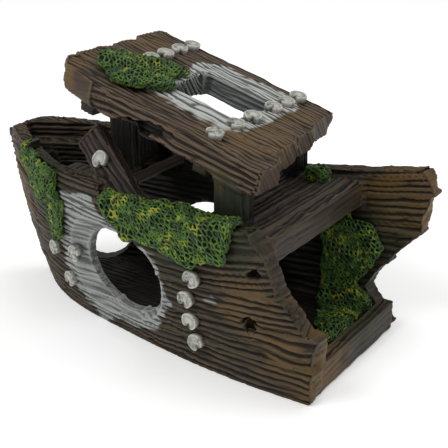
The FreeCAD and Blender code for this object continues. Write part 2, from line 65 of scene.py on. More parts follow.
# The hull's sides lie beyond SIDE_BREADTH. Chalk above ROOF_LOW belongs to the roof's hatch, and the
# painted shade on the hollow's dark paint ends at HULL_TOP
SIDE_BREADTH = 17.0
HULL_TOP, ROOF_LOW = 50.0, 46.0

HOLE_X, HOLE_Z, HOLE_HALF_X, HOLE_HALF_Z = -2.0, 20.5, 15.0, 12.5
STARBOARD_HOLE_Z, STARBOARD_HOLE_HALF_Z = 16.0, 10.0
ROOF_TOP, ROOF_PITCH = 70.4, math.radians(16.0)
ROOF_PORT, ROOF_STARBOARD = -25.0, 28.0
HATCH_FORE, HATCH_AFT, HATCH_PORT, HATCH_STARBOARD = 2.0, 23.0, -4.2, 14.0
MIDDLE_HEIGHT = 41.5
HEAD_RADIUS, HEAD_HEIGHT = 2.5, 1.3
RIDGE_PITCH = 1.75
WALL, BEVEL_DEPTH = 6.5, 3.0

# How near a piece has to be to count as meeting this one, and how far the surface is then pushed out
NEAR, OVERLAP = 1.3, 0.55
VOXEL = 0.38

ROOF_TURN = np.array(Matrix.Rotation(ROOF_PITCH, 3, "Y"))
AXIS_X, AXIS_Y, AXIS_Z = np.eye(3)


def sheer(x):
    """The height of the hull's rim along its length."""
    return STEM_HEIGHT - SHEER_FALL * (x - STEM_X) + SHEER_CURVE * (x - STEM_X) * (x - MIDDLE_X)


# ------------------------------------------------------------------ numbers over a surface


def smooth(low, high, value):
    """0 below low, 1 above high, and an even curve between."""
    share = np.clip((value - low) / (high - low), 0.0, 1.0)
    return share * share * (3.0 - 2.0 * share)


def noise(points, seed=0):
    """Even random values from -1 to 1 over space; one cell is one unit."""
    cell = np.floor(points).astype(np.int64)
    part = points - cell
    blend = part * part * (3.0 - 2.0 * part)
    total = np.zeros(len(points))
    for corner in itertools.product((0, 1), repeat=3):
        key = cell + corner
        mixed = key[:, 0] * 73856093 ^ key[:, 1] * 19349663 ^ key[:, 2] * 83492791 ^ (seed + 7) * 961748927
        mixed = (mixed ^ (mixed >> 13)) * 1274126177 & 0x7FFFFFFF
        mixed = (mixed ^ (mixed >> 15)) % 65536
        weight = np.prod(np.where(corner, blend, 1.0 - blend), axis=1)
        total += weight * (mixed / 32768.0 - 1.0)
    return total


def grooves(along, across, layer, seed):
    """Carved wood grain from 0 on a ridge to 1 in a groove, in lines that run along the plank."""
    wander = 1.5 * noise(np.c_[along / 30.0, across / 9.0, layer], seed + 1)
    wander += 0.45 * noise(np.c_[along / 9.0, across / 3.5, layer], seed + 2)
    phase = (across + wander) / RIDGE_PITCH
    valley = 0.5 - 0.5 * np.cos(2.0 * math.pi * phase)
    strength = 0.62 + 0.5 * noise(np.c_[along / 11.0, np.floor(phase + 0.5) * 1.7, layer], seed + 3)
    broad = smooth(0.42, 0.98, valley) * np.clip(strength, 0.0, 1.0)
    fine_field = noise(np.c_[along / 13.0, (across + wander) / 0.75, layer], seed)
    fine = 1.0 - smooth(0.0, 0.3, np.abs(fine_field))
    return np.clip(broad + 0.4 * fine, 0.0, 1.25)


# ------------------------------------------------------------------ meshes


def verts_of(mesh):
    """A mesh's points in millimetres."""
    flat = np.zeros(len(mesh.vertices) * 3)
    mesh.vertices.foreach_get("co", flat)
    return flat.reshape(-1, 3) / MM


def normals_of(mesh):
    """Which way a mesh faces at each of its points."""
    flat = np.zeros(len(mesh.vertices) * 3)
    mesh.vertex_normals.foreach_get("vector", flat)
    return flat.reshape(-1, 3)


def put_verts(mesh, points):
    """Moves a mesh's points to places in millimetres."""
    mesh.vertices.foreach_set("co", (points * MM).ravel())
    mesh.update()


def store(mesh, name, values):
    """Keeps a value for each point of a mesh, for its material to read."""
    layer = mesh.attributes.new(name, "FLOAT", "POINT")
    layer.data.foreach_set("value", values.astype(np.float32))


def new_piece(name, mesh):
    """A new object in the scene with this mesh."""
    piece = bpy.data.objects.new(name, mesh)
    bpy.context.scene.collection.objects.link(piece)
    return piece


def merged_copy(nodes, name, corner=None):
    """A closed copy of one or more CAD nodes' meshes, and of a block between two corners if there is one."""
    shape = bmesh.new()
    for node in nodes.split():
        shape.from_mesh(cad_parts[node].data)
    bmesh.ops.remove_doubles(shape, verts=shape.verts, dist=0.01 * MM)
    if corner is not None:
        low, high = Vector(corner[0]) * MM, Vector(corner[1]) * MM
        place = Matrix.Translation((low + high) / 2.0) @ Matrix.Diagonal((high - low).to_4d())
        bmesh.ops.create_cube(shape, size=1.0, matrix=place)
    mesh = bpy.data.meshes.new(name)
    shape.to_mesh(mesh)
    shape.free()
    return new_piece(name, mesh)


def applied(piece):
    """Turns a piece's modifiers into plain mesh."""
    graph = bpy.context.evaluated_depsgraph_get()
    mesh = bpy.data.meshes.new_from_object(piece.evaluated_get(graph))
    piece.modifiers.clear()
    piece.data = mesh
    return piece


def remeshed(nodes, name, pitch, rounding, turn=None, corner=None):
    """The nodes' shape as one even, fine mesh with its edges rounded, ready to be carved.

    turn is the slope of a slanted piece, which is remeshed level so that its edges come out straight.
    """
    piece = merged_copy(nodes, name, corner)
    level = Matrix.Identity(4) if turn is None else Matrix(turn.tolist()).to_4x4()
    piece.data.transform(level.inverted())
    even = piece.modifiers.new("even", "REMESH")
    even.mode = "VOXEL"
    even.voxel_size = pitch * MM
    soften = piece.modifiers.new("round", "SMOOTH")
    soften.factor = 0.5
    soften.iterations = rounding
    applied(piece)
    piece.data.transform(level)
    piece.data.polygons.foreach_set("use_smooth", [True] * len(piece.data.polygons))
    return piece


def averaged(mesh, values, rounds):
    """A mesh's values, one column or more for each point, evened out with the points around them."""
    pairs = np.zeros(len(mesh.edges) * 2, np.int32)
    mesh.edges.foreach_get("vertices", pairs)
    first, second = pairs.reshape(-1, 2).T
    count = len(values)
    degree = np.bincount(first, minlength=count) + np.bincount(second, minlength=count)
    for _ in range(rounds):
        sums = [np.bincount(first, column[second], count) + np.bincount(second, column[first], count)
                for column in values.T]
        values = np.stack(sums, axis=1) / np.maximum(degree, 1)[:, None]
    return values


def bulge(mesh, points, normals, rounds):
    """How far each point stands out of the ones around it, in mm: edges and ridges are above 0."""
    return np.einsum("ij,ij->i", points - averaged(mesh, points, rounds), normals)


def box_mm(node):
    """A node's lowest and highest corners in millimetres."""
    low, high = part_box(node)
    return np.array(low) / MM, np.array(high) / MM


WOODEN = [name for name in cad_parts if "moss" not in name and "nail" not in name and "air" not in name]


def neighbours(node):
    """The surfaces of the wooden pieces beside a node."""
    low, high = box_mm(node)
    corners, faces = [], []
    for other in WOODEN:
        other_low, other_high = box_mm(other)
        if other == node or np.any(other_low > high + NEAR) or np.any(other_high < low - NEAR):
            continue
        mesh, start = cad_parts[other].data, len(corners)
        corners += [vert.co.copy() for vert in mesh.vertices]
        faces += [[start + index for index in face.vertices] for face in mesh.polygons]
    return BVHTree.FromPolygons(corners, faces) if faces else None


def meeting_share(mesh, points, normals, node):
    """1 where a piece lies against another one and 0 where it is open."""
    tree = neighbours(node)
    met = np.zeros((len(points), 1))
    if tree is None:
        return met[:, 0]
    starts = (points - 0.3 * NEAR * normals) * MM
    for index, (start, way) in enumerate(zip(starts.tolist(), normals.tolist())):
        met[index] = tree.ray_cast(start, way, NEAR * MM)[0] is not None
    return averaged(mesh, met, 3)[:, 0]


# ------------------------------------------------------------------ where the paint changes


def roof_frame(points):
    """Points in the roof's own frame: down the slope, across, and above its top."""
    return (points - [0.0, 0.0, ROOF_TOP]) @ ROOF_TURN


def port_hole_ring(points):
    """Where points lie round the port hole: its own edge is 1; then how far fore of it and below it."""
    x, y, z = points.T
    before, below = (HOLE_X - x) / HOLE_HALF_X, (HOLE_Z - z) / HOLE_HALF_Z
    return np.hypot(before, below), before, below


def flared(z):
    """How far the hull's sides and stem have leaned out at a height, from 0 to 1."""
    return np.sin(np.clip(z, 0.0, FLARE_HEIGHT) / FLARE_HEIGHT * math.pi / 2.0) ** 0.8


def half_breadth(x, z):
    """The hull's outside half breadth, near enough, from its sizes at three stations."""
    base = np.polyval(np.polyfit(STATIONS, BASE_HALF, 2), x)
    return base + np.interp(x, STATIONS, SIDE_FLARE) * flared(z)


def hole_bevel(points):
    """The port hole's worn edge, from 0 where the hull is whole to 1 at the hole; widest at its fore side.

    It fades through the wall's thickness, so the wall inside the hole stays where it is.
    """
    x, y, z = points.T
    ring, before, below = port_hole_ring(points)
    reach = 1.1 + 0.52 * smooth(0.0, 0.9, before) + 0.14 * smooth(0.1, 0.9, below)
    depth = np.clip((half_breadth(x, z) + y) / WALL, 0.0, 1.0)
    return (1.0 - smooth(0.98, reach, ring)) * (1.0 - depth) * (y < -SIDE_BREADTH)


def off_hatch(along, across):
    """How far a place on the roof lies from the hatch: 0 inside it, 1 where the chalk has faded out."""
    beyond_ends = np.maximum(0, np.maximum(HATCH_FORE - along, along - HATCH_AFT)) / 6.0
    beyond_sides = np.maximum(0, np.maximum(HATCH_PORT - across, across - HATCH_STARBOARD)) / 9.0
    return np.hypot(beyond_ends, beyond_sides)


def whitewash(points):
    """Where the paint is chalky: round the port hole, wider before and below it, and round the hatch."""
    x, y, z = points.T
    ragged = 0.14 * noise(points / (6.0, 4.0, 2.2), 61) + 0.1 * noise(points / (2.2, 2.2, 0.9), 62)
    ring, before, below = port_hole_ring(points)
    reach = 1.2 + 0.5 * smooth(0.1, 1.0, before) + 0.16 * smooth(0.2, 1.0, below)
    reach += 0.35 * smooth(0.3, 0.9, -below) * smooth(-0.2, 0.6, before)
    hull = 1.0 - smooth(reach - 0.25, reach + 0.14, ring + ragged)
    dragged = np.linalg.norm((points - (31.0, -31.0, 20.5)) / (3.4, 9.0, 5.5), axis=1)
    streaky = smooth(-0.1, 0.5, noise(points / (4.0, 9.0, 0.8), 63))
    hull = np.maximum(hull, 0.45 * streaky * (1.0 - smooth(0.4, 1.1, dragged + ragged)))
    hull *= (y < -SIDE_BREADTH) * (z < 43.0)
    starboard = np.hypot((x - HOLE_X) / HOLE_HALF_X, (z - STARBOARD_HOLE_Z) / STARBOARD_HOLE_HALF_Z)
    hull += 0.7 * (1.0 - smooth(1.05, 1.3, starboard + ragged)) * (y > SIDE_BREADTH) * (z < 38.0)
    along, across, above = roof_frame(points).T
    off = off_hatch(along, across) + 1.2 * ragged
    roof = (1.0 - smooth(0.7, 1.35, off)) * (above > -9.5) * (z > ROOF_LOW)
    roof *= np.where((across < HATCH_PORT) & (off > 0.3), 0.7, 1.0)
    return np.clip(hull + roof, 0.0, 1.0)


def slate_share(points):
    """How slate-grey the chalk is: most on the hatch's sides, some on the hull."""
    along, across, above = roof_frame(points).T
    inside = 1.0 - smooth(0.0, 0.3, off_hatch(along, across))
    high = points[:, 2] > ROOF_LOW
    return np.where(high, inside * (1.0 - smooth(-2.2, -0.6, above)), 0.45)


MOSS_SPOTS = [
    ((-34, -21, 38), 17),
    ((17, -30, 41), 16),
    ((38, -28, 40), 9),
    ((46, 24, 22), 17),
    ((50, 6, 6), 16),
    ((-9, -6, 74), 14),
    ((35, 20, 42), 8),
    ((30, -21, 48), 12),
]


def moss_stain(points):
    """A green stain that fades away from the moss."""
    near = np.zeros(len(points))
    for centre, reach in MOSS_SPOTS:
        distance = np.linalg.norm(points - centre, axis=1) / reach
        near = np.maximum(near, 1.0 - smooth(0.45, 1.15, distance + 0.25 * noise(points / 3.5, 71)))
    return near


OCHRE_SPOTS = [
    ((57, -20, 10), 17),
    ((43, -27, 24), 13),
    ((30, -12, 62), 17),
    ((27, 14, 62), 13),
    ((-58, -12, 34), 18),
    ((60, 28, 38), 16),
    ((-24, -14, 74), 12),
    ((-22, 14, 76), 13),
]


def ochre(points):
    """Where the dry-brushing is more yellow: the stern quarter, the roof's low end and the bow."""
    near = np.zeros(len(points))
    for centre, reach in OCHRE_SPOTS:
        distance = np.linalg.norm(points - centre, axis=1) / reach
        near = np.maximum(near, 1.0 - smooth(0.4, 1.1, distance + 0.3 * noise(points / 5.0, 75)))
    return near


def hull_shade(points, normals):
    """Painted shade on the dark inside of the hull, under the deck and roof; it ends at the open stern."""
    x, y, z = points.T
    facing_in = smooth(0.1, 0.5, -normals[:, 1] * np.sign(y))
    under_deck = (1.0 - smooth(38.0, 52.0, x)) * (1.0 - smooth(36.0, 44.0, z))
    under_roof = smooth(-34.0, -26.0, x) * (1.0 - smooth(28.0, 36.0, x))
    return facing_in * np.maximum(under_deck, under_roof) * (z < HULL_TOP)


ROT_SPOTS = [
    ((4, -25, 63), (13, 5, 2.6), 2.2),
    ((44, -28, 33), (3.2, 6, 2.0), 3.0),
    ((43, -28, 19), (3.0, 6, 1.9), 3.0),
    ((-24, -17, 73), (4.0, 4, 2.5), 1.0),
]


def rot(points):
    """How deep the rotted hollows and knot holes go at each point, in mm."""
    deep = np.zeros(len(points))
    for centre, reach, depth in ROT_SPOTS:
        distance = np.linalg.norm((points - centre) / reach, axis=1)
        ragged = 0.3 * noise(points / 1.7, 81)
        deep = np.maximum(deep, depth * (1.0 - smooth(0.5, 1.0, distance + ragged)))
    return deep


# ------------------------------------------------------------------ carving


class Grain:
    """Which way the wood runs in a piece, and which of its faces meet the next piece."""

    def __init__(self, along, beside=AXIS_Y, meeting=0.3, turn=None):
        self.along = np.array(along, float)
        self.beside = np.array(beside, float)
        self.meeting = meeting
        self.turn = turn

    def lines(self, points, normals):
        """Each point's place along its grain line, across the lines, and the layer it lies in."""
        third = np.cross(self.along, self.beside)
        return points @ self.along, points @ self.beside + points @ third, np.zeros(len(points))

    def open_share(self, points, normals):
        """1 on a face that lies open, and less on one against the next board and on the end grain."""
        end_grain = 1.0 - 0.75 * smooth(0.5, 0.9, np.abs(normals @ self.along))
        return end_grain * (1.0 - (1.0 - self.meeting) * smooth(0.5, 0.9, np.abs(normals @ self.beside)))


class HullGrain(Grain):
    """Grain that follows the sheer, with one layer of lines for each face of a side."""

    def __init__(self):
        super().__init__(AXIS_X, AXIS_Z, 0.15)

    def lines(self, points, normals):
        """The same three places, with the lines bent to the rim's curve."""
        x, y, z = points.T
        rise = z / sheer(x) * MIDDLE_HEIGHT
        flat_top = smooth(0.6, 0.9, np.abs(normals[:, 2]))
        outside = (normals[:, 1] * y > 0).astype(float)
        return x, rise + flat_top * np.abs(y), 4.0 * np.sign(y) + 1.7 * outside

    def open_share(self, points, normals):
        """The rim's top lies open too."""
        rim = points[:, 2] > 0.975 * sheer(points[:, 0])
        return np.where(rim, 1.0, super().open_share(points, normals))


class RoofGrain(Grain):
    """Grain down the roof's slope; its outer edges and the hatch's sides lie open."""

    def __init__(self):
        super().__init__(ROOF_TURN[:, 0], AXIS_Y, 0.2, ROOF_TURN)

    def open_share(self, points, normals):
        """The roof's outer edges and the hatch's sides lie open too."""
        across = points[:, 1]
        outer = (across < ROOF_PORT + 1.5) | (across > ROOF_STARBOARD - 1.5)
        middle_across = (HATCH_PORT + HATCH_STARBOARD) / 2.0
        half_across = (HATCH_STARBOARD - HATCH_PORT) / 2.0 + 0.8
        middle_along = (HATCH_FORE + HATCH_AFT) / 2.0
        half_along = (HATCH_AFT - HATCH_FORE) / 2.0 + 1.5
        hatch = np.abs(across - middle_across) < half_across
        hatch &= np.abs(roof_frame(points)[:, 0] - middle_along) < half_along
        return np.where(outer | hatch, 1.0, super().open_share(points, normals))


def end_gap(along, across, sign):
    """How far each point lies from its plank's end in one direction, line by line across the plank."""
    line = np.round((across - across.min()) / 0.8).astype(int)
    reach = np.full(line.max() + 1, -1e9)
    np.maximum.at(reach, line, sign * along)
    return reach[line] - sign * along


def abaft_stem(points):
    """How far points lie aft of the raked stem, in mm."""
    return points[:, 0] + BOW_REACH + STEM_RAKE * flared(points[:, 2])


def worn_bow(points):
    """The rim comes down towards the stem, where it is worn off."""
    x, y, z = points.T
    worn = 5.5 * (1.0 - smooth(STEM_X, -56.0, x)) * smooth(38.0, 50.0, z)
    return points - np.c_[np.zeros_like(x), np.zeros_like(x), worn]


def carved(node, grain, seed, material, depth=0.75, jag=(0.0, 0.0), dark=None,
           rounding=6, lump=0.3, blunt=0.0):
    """A wooden piece: the node's solid, rounded, its ends splintered and its grain cut inwards.

    jag is how far its low and its high end along the grain are splintered, dark its share of painted shade,
    lump how uneven it is as a whole, and blunt how far its ends' corners are worn off.
    """
    piece = remeshed(node, f"wood_{node}", VOXEL, rounding, grain.turn)
    mesh = piece.data
    points, normals = verts_of(mesh), normals_of(mesh)
    along, across, layer = grain.lines(points, normals)
    layer = layer + 0.37 * seed
    open_share = grain.open_share(points, normals)
    bevel = hole_bevel(points)
    whole = 1.0 - 0.85 * smooth(0.0, 0.25, bevel)
    cut = grooves(along, across, layer, seed) * whole
    swell = 0.5 + 0.5 * noise(np.c_[along / 12.0, across / 5.0, layer], seed + 11)
    edge = np.clip(bulge(mesh, points, normals, 6), 0.0, 1.0)
    chipped = edge * (0.5 + 0.5 * noise(points / 2.6, seed + 17)) * 2.5
    rotten = rot(points)
    uneven = lump * (1.0 + noise(points / 5.5, seed + 19) + 0.5 * noise(points / 2.4, seed + 20))
    relief = (depth * cut + (0.5 * depth * swell + chipped + uneven) * whole) * open_share
    relief *= 0.3 + 0.7 * smooth(1.0, 8.0, abaft_stem(points))
    met = meeting_share(mesh, points, normals, node)
    relief = relief * (1.0 - met) - OVERLAP * met + rotten
    moved = points - normals * relief[:, None] + BEVEL_DEPTH * bevel[:, None] * AXIS_Y
    for sign, reach in zip((-1.0, 1.0), jag):
        gap = end_gap(along, across, sign)
        teeth = 0.5 + 0.5 * noise(np.c_[across / 3.2, layer, layer + 2.0 * sign], seed + 21)
        teeth += 0.15 * noise(np.c_[across / 1.6, layer, layer], seed + 23)
        middle, half = (across.max() + across.min()) / 2.0, (across.max() - across.min()) / 2.0
        corner = np.abs(across - middle) / half
        worn = reach * np.clip(teeth, 0.0, 1.2) + blunt * corner ** 4
        pull = worn * (1.0 - smooth(0.0, 3.0 * (reach + blunt) + 0.1, gap)) * (1.0 - met)
        pull = averaged(mesh, pull[:, None], 3)[:, 0]
        moved = moved - sign * pull[:, None] * grain.along
    low, high = box_mm(node)
    moved = worn_bow(np.clip(moved, np.maximum(low - OVERLAP, (-1e3, -1e3, 0.0)), high + OVERLAP))
    put_verts(mesh, moved)
    normals = normals_of(mesh)
    store(mesh, "groove", cut * open_share)
    store(mesh, "wear", bulge(mesh, moved, normals, 4))
    store(mesh, "wash", whitewash(moved))
    store(mesh, "green", moss_stain(moved))
    store(mesh, "slate", slate_share(moved))
    store(mesh, "ochre", ochre(moved))
    # Painted shade: the hull's hollow from hull_shade, or an even share given as dark
    shade = hull_shade(moved, normals) if dark is None else np.full(len(moved), dark)
    # Painted shade also darkens the rotted hollows and knot holes, more the deeper they go
    store(mesh, "shade", np.maximum(shade, smooth(0.3, 2.0, rotten)))
    store(mesh, "tint", np.full(len(moved), noise(np.array([[seed * 1.37, 0.5, 0.5]]), 5)[0]))
    lines = mesh.attributes.new("lines", "FLOAT_VECTOR", "POINT")
    lines.data.foreach_set("vector", np.c_[along, across, layer].astype(np.float32).ravel())
    mesh.materials.clear()
    mesh.materials.append(material)
    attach(piece, "root")
    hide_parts(node)


# ------------------------------------------------------------------ node trees


class Wire:
    """A socket of a node tree, which can be used in sums."""

    def __init__(self, tree, socket=None):
        self.tree = tree
        self.socket = socket

    def add(self, kind, settings=(), sockets=(), output=0):
        """A new node: its settings first, then the values or links of its sockets."""
        made = self.tree.nodes.new(kind)
        for name, value in dict(settings).items():
            setattr(made, name, value)
        for key, value in dict(sockets).items():
            if isinstance(value, Wire):
                self.tree.links.new(value.socket, made.inputs[key])
            else:
                made.inputs[key].default_value = value
        return Wire(self.tree, made.outputs[output])

    def sum_with(self, operation, first, second):
        """One sum of two wires or numbers."""
        return self.add("ShaderNodeMath", {"operation": operation}, {0: first, 1: second})

    def __add__(self, other):
        return self.sum_with("ADD", self, other)

    def __sub__(self, other):
        return self.sum_with("SUBTRACT", self, other)

    def __mul__(self, other):
        return self.sum_with("MULTIPLY", self, other)

    def __rsub__(self, other):
        return self.sum_with("SUBTRACT", other, self)

    __radd__ = __add__
    __rmul__ = __mul__

    def between(self, low, high):
        """0 below low, 1 above high, smooth between."""
        sockets = {"Value": self, "From Min": low, "From Max": high}
        return self.add("ShaderNodeMapRange", {"interpolation_type": "SMOOTHSTEP"}, sockets)

    def attribute(self, name, output="Fac"):
        """A value stored for each point of a mesh."""
        return self.add("ShaderNodeAttribute", {"attribute_name": name}, output=output)

    def mix(self, first, second, share):
        """A colour between two others."""
        sockets = {0: share, 6: first, 7: second}
        return self.add("ShaderNodeMix", {"data_type": "RGBA"}, sockets, output=2)

    def grained(self, vector, scale, detail=3.0, roughness=0.55, output="Fac"):
        """Cloudy noise over a vector, in units of the scale."""
        scaled = self.add("ShaderNodeVectorMath", {"operation": "MULTIPLY"}, {0: vector, 1: scale})
        sockets = {"Vector": scaled, "Scale": 1.0, "Detail": detail, "Roughness": roughness}
        return self.add("ShaderNodeTexNoise", sockets=sockets, output=output)


def paint(red, green, blue):
    """A paint colour given as on a colour card, from 0 to 255."""
    shares = [value / 255.0 for value in (red, green, blue)]
    linear = [share / 12.92 if share <= 0.04045 else ((share + 0.055) / 1.055) ** 2.4 for share in shares]
    return linear + [1.0]


def new_material(name):
    """A fresh material, its shader and a wire into its tree."""
    material = bpy.data.materials.new(name)
    material.use_nodes = True
    shader = material.node_tree.nodes["Principled BSDF"]
    return material, shader, Wire(material.node_tree)


def connect(shader, values):
    """Sets or links the shader's own sockets."""
    for name, value in values.items():
        if isinstance(value, Wire):
            value.tree.links.new(value.socket, shader.inputs[name])
        else:
            shader.inputs[name].default_value = value


# ------------------------------------------------------------------ finishes

CHALK_LIGHT, CHALK_GREY = paint(186, 188, 184), paint(92, 95, 92)
SLATE = paint(82, 87, 88)
OCHRE = paint(100, 76, 35)
# SHADOW_PAINT is painted shade: near black over the hull's hollow, the floor plate and the rotted holes
SHADOW_PAINT = paint(11, 10, 9)
MOSS_STAIN = paint(34, 44, 24)


def wood(name, low, middle, high, patch, patch_share=0.5):
    """Painted resin wood: dark in its grooves, dry-brushed on its ridges, chalky or green in places."""
    material, shader, wire = new_material(name)
    lines = wire.attribute("lines", "Vector")
    groove, wear, wash = wire.attribute("groove"), wire.attribute("wear"), wire.attribute("wash")
    green, shade, tint = wire.attribute("green"), wire.attribute("shade"), wire.attribute("tint")
    slate, yellow = wire.attribute("slate"), wire.attribute("ochre")
    streaks = wire.grained(lines, (0.07, 0.85, 1.0), 4.0)
    clouds = wire.grained(lines, (0.05, 0.09, 0.6), 2.0)
    fine = wire.grained(lines, (0.45, 4.0, 1.0), 3.0, 0.65)
    body = wire.mix(middle, high, (streaks + tint * 0.15).between(0.42, 0.78) * 0.7)
    body = wire.mix(body, patch, clouds.between(0.45, 0.66) * patch_share)
    body = wire.mix(body, OCHRE, (yellow * 0.95 - clouds * 0.3).between(0.05, 0.75) * 0.85)
    body = wire.mix(body, high, wear.between(0.03, 0.2) * 0.7)
    body = wire.mix(body, low, (groove - wear * 1.2).between(0.03, 0.62) * 0.95)
    body = wire.mix(body, low, fine.between(0.5, 0.74) * 0.55)
    body = wire.mix(body, MOSS_STAIN, green * 0.5)
    chalk = wire.mix(CHALK_GREY, CHALK_LIGHT, (streaks - groove * 0.3 + wear * 1.6).between(0.34, 0.66))
    chalk = wire.mix(chalk, SLATE, slate * 0.85)
    body = wire.mix(body, chalk, (wash * 1.35 - fine * 0.3 - groove * 0.25).between(0.1, 0.6))
    # Painted shade: near black wherever the 'shade' share says the piece lies in shadow
    body = wire.mix(body, SHADOW_PAINT, shade * 0.94)
    height = fine + streaks * 0.6
    bump = wire.add("ShaderNodeBump", sockets={"Strength": 0.5, "Distance": 0.15 * MM, "Height": height})
    rough = 0.52 + groove * 0.2 + wash * 0.25
    connect(shader, {"Base Color": body, "Roughness": rough, "Normal": bump, "Specular IOR Level": 0.25})
    return material


def moss_paint(name, low, middle, high, scale):
    """Moss: deep green with yellower tips in drifts."""
    material, shader, wire = new_material(name)
    place = wire.add("ShaderNodeTexCoord", output="Object")
    drifts = wire.grained(place, (260.0, 260.0, 260.0), 2.0)
    specks = wire.grained(place, (scale, scale, scale), 2.0)
    body = wire.mix(low, middle, specks.between(0.36, 0.6))
    body = wire.mix(body, high, (drifts * 0.7 + specks * 0.5).between(0.64, 0.78))
    bump = wire.add("ShaderNodeBump", sockets={"Strength": 0.4, "Distance": 0.1 * MM, "Height": specks})
    connect(shader, {"Base Color": body, "Roughness": 0.5 + specks * 0.25, "Normal": bump})
    return material


def nail_paint():
    """Pale grey nail heads with darker scuffs, and painted shade under them, in their dishes and bites."""
    material, shader, wire = new_material("nail_heads")
    place = wire.add("ShaderNodeTexCoord", output="Object")
    scuffs = wire.grained(place, (900.0, 900.0, 900.0), 3.0, 0.7)
    broad = wire.grained(place, (210.0, 210.0, 210.0), 1.0)
    scuffed = (scuffs * 0.8 + broad * 0.4).between(0.56, 0.8)
    body = wire.mix(paint(196, 196, 187), paint(104, 104, 98), scuffed)
    # Painted shade under the head, in the dish inside its rim and in its bite
    body = wire.mix(body, paint(40, 38, 33), wire.attribute("dent_shade") * 0.85)
    bump = wire.add("ShaderNodeBump", sockets={"Strength": 0.5, "Distance": 0.15 * MM, "Height": scuffs})
    connect(shader, {"Base Color": body, "Roughness": 0.45 + scuffs * 0.2, "Normal": bump})
    return material


HULL = wood("hull_wood", paint(17, 13, 8), paint(49, 39, 28), paint(84, 71, 52), paint(54, 46, 26))
DECK = wood("deck_wood", paint(18, 14, 11), paint(56, 46, 37), paint(86, 74, 60), paint(50, 42, 32))
# The posts, bulkhead and battens under the roof: dark paint, made darker still as painted shade
CABIN_DARK_AND_SHADED = wood("cabin_wood_dark_and_shaded", paint(7, 6, 5), paint(23, 20, 16), paint(42, 36, 28), paint(24, 29, 16))
ROOF = wood("roof_wood", paint(24, 18, 13), paint(62, 49, 37), paint(106, 89, 70), paint(70, 50, 36))
BOARD = wood("leaning_wood", paint(20, 15, 13), paint(54, 41, 35), paint(82, 68, 58), paint(66, 38, 31))
# The moss bed: dark green moss between the strands, made near black as painted shade of its depths
MOSS_BED_SHADED = moss_paint("moss_bed_shaded", paint(6, 10, 4), paint(16, 25, 8), paint(28, 38, 11), 900.0)
MOSS_NET = moss_paint("moss_strands", paint(34, 60, 16), paint(72, 108, 34), paint(146, 150, 38), 500.0)
NAILS = nail_paint()

# ------------------------------------------------------------------ wooden pieces

hull_grain, roof_grain = HullGrain(), RoofGrain()
athwart = Grain(AXIS_Y, AXIS_X)
upright = Grain(AXIS_Z, AXIS_Y)
lengthwise = Grain(AXIS_X, AXIS_Y)

SPLINTERED_STERN = 2.0
HULL_PIECES = {
    "strake_1": 1.3,
    "strake_2_fore": 0.0,
    "strake_2_middle": 0.0,
    "strake_2_aft": SPLINTERED_STERN,
    "strake_3_fore": 0.0,
    "strake_3_aft": SPLINTERED_STERN,
    "strake_4": SPLINTERED_STERN,
    "strake_5": SPLINTERED_STERN,
    "rim_board": 1.0,
}

seed = 100
for side in ("port", "starboard"):
    for part, splinters in HULL_PIECES.items():
        if f"{side}_{part}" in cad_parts:
            seed += 1
            carved(f"{side}_{part}", hull_grain, seed, HULL, 0.8, (0.0, splinters))

for node in sorted(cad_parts):
    seed += 1
    if node.startswith("roof_plank"):
        carved(node, roof_grain, seed, ROOF, 0.85, (1.1, 1.4), lump=0.35, blunt=1.8)
    elif node.startswith("roof_batten"):
        carved(node, athwart, seed, CABIN_DARK_AND_SHADED, 0.4)
    elif "deck_board" in node:
        carved(node, athwart, seed, DECK, 0.6, (0.4, 0.4))
    elif node.endswith("_beam"):
        carved(node, athwart, seed, DECK, 0.8, rounding=14, lump=0.8)
    elif node.endswith("_post") or "bulkhead" in node:
        carved(node, upright, seed, CABIN_DARK_AND_SHADED, 0.7, rounding=10, lump=0.4)

carved("transom_sill", athwart, seed + 1, HULL, 0.8, (0.3, 0.3), rounding=12, lump=0.5)
# The floor plate inside the hull lies under painted shade, 0.7 of it all over
carved("floor_plate", lengthwise, seed + 2, HULL, 0.5, dark=0.7)


def slanted(node):
    """Grain for a slanted board: along its length, from the directions in which its points spread most."""
    points = verts_of(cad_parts[node].data)
    length, width = np.linalg.svd(points - points.mean(0), full_matrices=False)[2][:2]
    return Grain(length, width, 1.0, np.column_stack([length, width, np.cross(length, width)]))


carved("leaning_board", slanted("leaning_board"), seed + 3, BOARD, 0.6, (0.8, 1.2), blunt=0.8)

# ------------------------------------------------------------------ nail heads


def node_group(name, inputs, output):
    """An empty geometry tree with named inputs, and a wire into it."""
    tree = bpy.data.node_groups.new(name, "GeometryNodeTree")
    for label, kind in inputs.items():
        tree.interface.new_socket(label, in_out="INPUT", socket_type=f"NodeSocket{kind}")
    tree.interface.new_socket(output, in_out="OUTPUT", socket_type="NodeSocketGeometry")
    return tree, Wire(tree)


def end_group(tree, wire, finish):
    """Ends a tree: instances made real and given their finish."""
    real = wire.add("GeometryNodeRealizeInstances", sockets={0: wire})
    finished = wire.add("GeometryNodeSetMaterial", sockets={"Geometry": real, "Material": finish})
    out = tree.nodes.new("NodeGroupOutput")
    tree.links.new(finished.socket, out.inputs[0])


def grown(piece, tree, values):
    """Runs a tree on a piece with its inputs set by name, and keeps the result as plain mesh."""
    grower = piece.modifiers.new(tree.name, "NODES")
    grower.node_group = tree
    named = {item.name: item.identifier for item in tree.interface.items_tree if item.in_out == "INPUT"}
    for name, value in values.items():
        grower[named[name]] = value
    applied(piece)
    piece.data.polygons.foreach_set("use_smooth", [True] * len(piece.data.polygons))
    return piece


